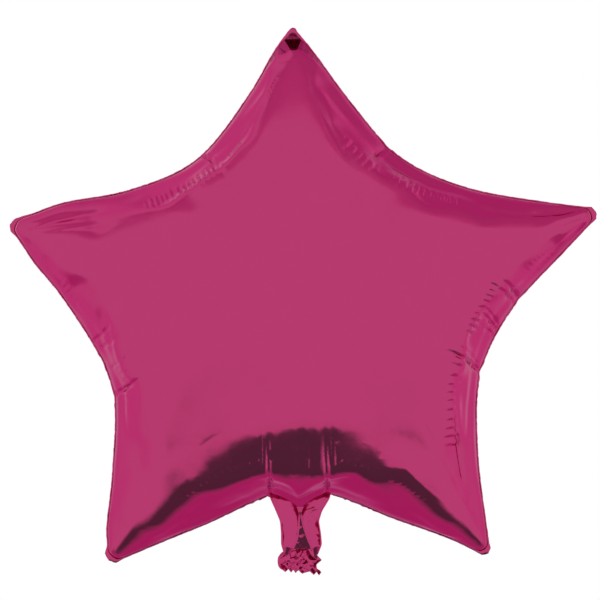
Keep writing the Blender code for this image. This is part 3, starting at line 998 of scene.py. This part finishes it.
def foil_material(name, crinkles, roughness):
    """Tinted metallised film. Each crinkle is a scale a metre and a height."""
    material = bpy.data.materials.new(name)
    material.use_nodes = True
    tree = material.node_tree
    shader = tree.nodes["Principled BSDF"]
    shader.inputs["Metallic"].default_value = 1.0
    shader.inputs["Specular Tint"].default_value = GRAZING_COLOUR
    place = tree.nodes.new("ShaderNodeTexCoord").outputs["Object"]
    patches = noise_node(tree, place, PATCHES)
    darker = tuple(PATCH_DARKENING * value for value in FOIL_COLOUR)
    tree.links.new(mix_colour(tree, patches, darker, FOIL_COLOUR), shader.inputs["Base Color"])
    scuffs = noise_node(tree, place, SCUFFS)
    tree.links.new(map_range(tree, scuffs, *SCUFF_SPAN, *roughness), shader.inputs["Roughness"])
    normal = None
    for scale, height in crinkles:
        bump = tree.nodes.new("ShaderNodeBump")
        bump.inputs["Distance"].default_value = height
        tree.links.new(noise_node(tree, place, scale), bump.inputs["Height"])
        if normal:
            tree.links.new(normal, bump.inputs["Normal"])
        normal = bump.outputs["Normal"]
    tree.links.new(normal, shader.inputs["Normal"])
    return material


def noise_node(tree, place, scale):
    """Smooth noise between 0 and 1, with so many features a metre."""
    node = tree.nodes.new("ShaderNodeTexNoise")
    node.inputs["Scale"].default_value = scale
    node.inputs["Detail"].default_value = 2.0
    tree.links.new(place, node.inputs["Vector"])
    return node.outputs["Fac"]


def colour_ramp(tree, stops):
    """A colour ramp node with stops given as degrees out of 180 and a colour."""
    ramp = tree.nodes.new("ShaderNodeValToRGB")
    ramp.color_ramp.interpolation = "EASE"
    while len(ramp.color_ramp.elements) < len(stops):
        ramp.color_ramp.elements.new(0.5)
    for element, (degrees, colour) in zip(ramp.color_ramp.elements, stops):
        element.position = degrees / 180.0
        element.color = (*colour, 1.0)
    return ramp


def math_node(tree, operation, first, second):
    """A math node, with sockets or numbers for its two inputs."""
    node = tree.nodes.new("ShaderNodeMath")
    node.operation = operation
    for socket, value in zip(node.inputs, (first, second)):
        if isinstance(value, (int, float)):
            socket.default_value = value
        else:
            tree.links.new(value, socket)
    return node.outputs[0]


def map_range(tree, value, low, high, at_low=0.0, at_high=1.0):
    """A smooth change from one number to another as the value goes from low to high."""
    node = tree.nodes.new("ShaderNodeMapRange")
    node.interpolation_type = "SMOOTHSTEP"
    node.inputs["From Min"].default_value = low
    node.inputs["From Max"].default_value = high
    node.inputs["To Min"].default_value = at_low
    node.inputs["To Max"].default_value = at_high
    tree.links.new(value, node.inputs["Value"])
    return node.outputs[0]


def mix_colour(tree, share, first, second):
    """A mix of two colours, each a socket or a colour."""
    node = tree.nodes.new("ShaderNodeMix")
    node.data_type = "RGBA"
    tree.links.new(share, node.inputs["Factor"])
    for socket, value in zip((node.inputs[6], node.inputs[7]), (first, second)):
        if isinstance(value, tuple):
            socket.default_value = (*value, 1.0)
        else:
            tree.links.new(value, socket)
    return node.outputs[2]


def studio():
    """White surroundings. The foil mirrors the room instead.

    That is dark below and in front, where the photographer stands, magenta
    behind, and white straight in front, at the sides and to the upper left.
    """
    world = bpy.data.worlds.new("studio")
    bpy.context.scene.world = world
    world.use_nodes = True
    tree = world.node_tree
    place = tree.nodes.new("ShaderNodeTexCoord")
    axes = tree.nodes.new("ShaderNodeSeparateXYZ")
    tree.links.new(place.outputs["Generated"], axes.inputs[0])
    x, y, z = axes.outputs
    height = math_node(tree, "ABSOLUTE", z, 0.0)
    forwards = math_node(tree, "MULTIPLY", y, -1.0)
    turned = math_node(tree, "DIVIDE", math_node(tree, "ARCTAN2", height, forwards), math.pi)
    below = colour_ramp(tree, ROOM_BELOW)
    above = colour_ramp(tree, ROOM_ABOVE)
    for ramp in (below, above):
        tree.links.new(turned, ramp.inputs[0])
    rising = map_range(tree, z, *FLOOR_TO_CEILING)
    room = mix_colour(tree, rising, below.outputs[0], above.outputs[0])
    sideways = math_node(tree, "ABSOLUTE", x, 0.0)
    slant = math_node(tree, "DIVIDE", sideways, math_node(tree, "ADD", height, SLANT_SOFTENING))
    in_front = map_range(tree, slant, *WHITE_SLANT)
    level = map_range(tree, height, *WHITE_HEIGHT, 1.0, 0.0)
    beside = math_node(tree, "MULTIPLY", map_range(tree, sideways, *WHITE_BESIDE), level)
    upper_left = math_node(tree, "MULTIPLY", map_range(tree, x, *WHITE_LEFT), rising)
    behind = math_node(tree, "MAXIMUM", beside, upper_left)
    turning = map_range(tree, y, *FRONT_TO_BACK)
    front_part = math_node(tree, "MULTIPLY", in_front, math_node(tree, "SUBTRACT", 1.0, turning))
    white_share = math_node(tree, "ADD", front_part, math_node(tree, "MULTIPLY", behind, turning))
    room = mix_colour(tree, white_share, room, WHITE)
    path = tree.nodes.new("ShaderNodeLightPath")
    seen = mix_colour(tree, path.outputs["Is Glossy Ray"], WHITE, room)
    background = tree.nodes["Background"]
    tree.links.new(seen, background.inputs["Color"])
    background.inputs["Strength"].default_value = 1.0


def floor_below():
    """A plain pale floor, well below the hanging balloon."""
    bpy.ops.mesh.primitive_plane_add(size=FLOOR_SIZE, location=(0.0, 0.0, FLOOR_HEIGHT))
    floor = bpy.context.object
    floor.name = "floor"
    floor.visible_glossy = False
    material = bpy.data.materials.new("floor_paint")
    material.use_nodes = True
    shader = material.node_tree.nodes["Principled BSDF"]
    shader.inputs["Base Color"].default_value = FLOOR_COLOUR
    shader.inputs["Roughness"].default_value = FLOOR_ROUGHNESS
    floor.data.materials.append(material)


def camera_in_front():
    """The camera straight in front, framed as the photograph is."""
    data = bpy.data.cameras.new("camera")
    data.sensor_width = SENSOR_WIDTH
    data.lens = SENSOR_WIDTH * CAMERA_DISTANCE / (IMAGE_SIZE * METRE_PER_PIXEL)
    camera = bpy.data.objects.new("camera", data)
    bpy.context.scene.collection.objects.link(camera)
    x, z = from_pixel(IMAGE_SIZE / 2, IMAGE_SIZE / 2)
    camera.location = (x, -CAMERA_DISTANCE, z)
    camera.rotation_euler = (math.radians(90), 0.0, 0.0)
    bpy.context.scene.camera = camera


def main():
    """Build the balloon's pieces, their looks and what stands around them."""
    rng = np.random.default_rng(SEED)
    runs = half_runs(cad_seam())
    star, flat_edge, seam = blown_star(rng, runs)
    weld = weld_edge(flat_edge, runs, seam)
    left = neck_film("neck_fold_left", LEFT_LOBE, LOBE_DEPTHS, 0.0062,
                     crushed=0.0003, scale=0.012)
    right = neck_film("neck_fold_right", RIGHT_LOBE, LOBE_DEPTHS, 0.0058,
                      crushed=0.0006, scale=0.009)
    back = neck_film("neck_back", NECK_BACK, NECK_BACK_DEPTHS, 0.0024,
                     crushed=0.0003, scale=0.007)
    tail = neck_film("neck_end", TAIL, TAIL_DEPTHS, 0.0020,
                     crushed=0.0006, scale=0.0055, pleats=0.0015, pleat_count=5.5,
                     ragged=0.0012, rows=64, columns=96)
    film = foil_material("magenta_film", *SMOOTH_FILM)
    welded = foil_material("magenta_weld", *WELDED_FILM)
    crushed = foil_material("magenta_crushed_film", *CRUSHED_FILM)
    looks = (
        (star, film),
        (weld, welded),
        (left, film),
        (right, crushed),
        (back, crushed),
        (tail, crushed),
    )
    for piece, look in looks:
        piece.data.materials.append(look)
        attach(piece, "root")
        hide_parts("foil_star")
    for piece in (weld, left, right, back, tail):
        piece.visible_glossy = False
    studio()
    floor_below()
    camera_in_front()
    bpy.context.scene.view_settings.view_transform = "Standard"


main()
